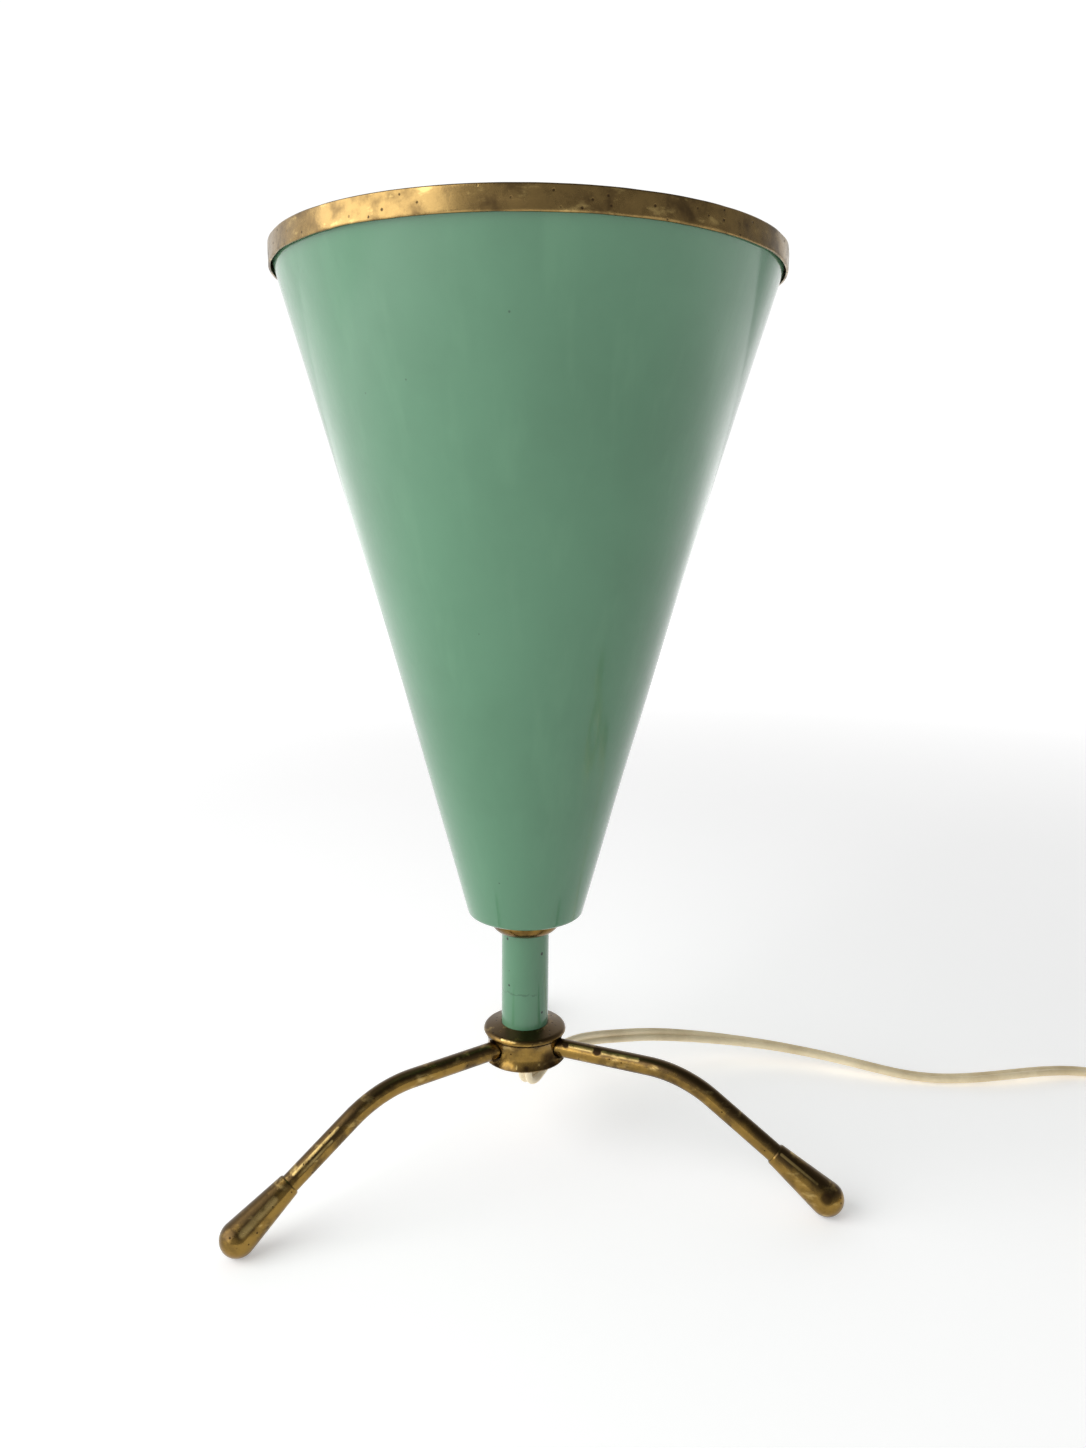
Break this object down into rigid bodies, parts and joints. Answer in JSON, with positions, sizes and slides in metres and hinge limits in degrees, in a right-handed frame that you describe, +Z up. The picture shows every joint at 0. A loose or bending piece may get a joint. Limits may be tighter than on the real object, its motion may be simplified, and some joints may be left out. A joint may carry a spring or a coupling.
{
  "type": "tripod table lamp",
  "caption": "Small tripod uplighter: an open conical shade on a short stem, with a hub, bent rod legs, lampholder and bulb, and a flex with an in-line switch and plug.",
  "frame": {"origin": "on the stem's axis, level with the surface the feet stand on", "axes": "+Z up along the stem; +Y away from the front, which is the side between the left and right legs; +X to the right, the side the flex lies on"},
  "size_m": [0.4542, 0.3648, 0.3731],
  "materials": {
    "green_lacquer": "gloss lacquer, crackled with age",
    "brass": "aged, patchy lacquered brass",
    "steel": "plain zinc-plated steel",
    "bakelite": "dark brown moulding",
    "porcelain": "glazed ceramic",
    "cap_metal": "satin",
    "vitrite": "black glassy insulator",
    "bulb_glass": "frosted",
    "mount_glass": "clear",
    "filament": "drawn wire",
    "cream_flex": "soft extruded sheath",
    "core_insulation": "thin extruded insulation",
    "cream_moulding": "satin moulding",
    "cream_key": "satin moulding",
    "pin_metal": "nickel-plated"
  },
  "bodies": {
    "lamp": {"shade_cone": "green_lacquer", "shade_rim_band": "brass", "shade_collar": "brass", "shade_washer": "steel", "shade_nut": "steel", "stem_tube": "green_lacquer", "lamp_pipe": "steel", "hub_body": "brass", "hub_cap": "brass", "hub_washer": "steel", "hub_nut": "steel", "cord_bush": "bakelite", "leg_lock_rings": "steel", "leg_rod_left": "brass", "leg_rod_right": "brass", "leg_rod_rear": "brass", "foot_left": "brass", "foot_right": "brass", "foot_rear": "brass", "holder_cap": "bakelite", "holder_core": "porcelain", "holder_terminal_screws": "pin_metal", "holder_shell": "bakelite", "holder_thread_sleeve": "pin_metal", "holder_contact_tongue": "pin_metal", "inner_flex": "cream_flex", "holder_cores": "core_insulation", "cord_run": "cream_flex", "cord_link": "cream_flex", "cord_tail": "cream_flex", "cord_coil": "cream_flex", "switch_base": "cream_moulding", "switch_cover": "cream_moulding", "switch_screws": "steel", "switch_pin": "steel", "switch_contacts": "pin_metal", "switch_flex": "cream_flex", "plug_base": "cream_moulding", "plug_cover": "cream_moulding", "plug_pins": "pin_metal", "plug_screw": "steel", "plug_cores": "core_insulation"},
    "bulb": {"bulb_cap": "cap_metal", "bulb_insulator": "vitrite", "bulb_contact": "pin_metal", "bulb_glass": "bulb_glass", "bulb_mount": "mount_glass", "bulb_leads": "filament", "bulb_filament": "filament"},
    "rocker": {"switch_rocker": "cream_key"}
  },
  "joints": [
    {"name": "bulb_lift", "type": "slide", "parent": "lamp", "child": "bulb", "axis": [0, 0, 1], "range_m": [0, 0.024]},
    {"name": "switch_rocker_tilt", "type": "hinge", "parent": "lamp", "child": "rocker", "pos_m": [0.315, -0.052, 0.0123], "axis": [-1, 0, 0], "range_deg": [0, 24]}
  ]
}
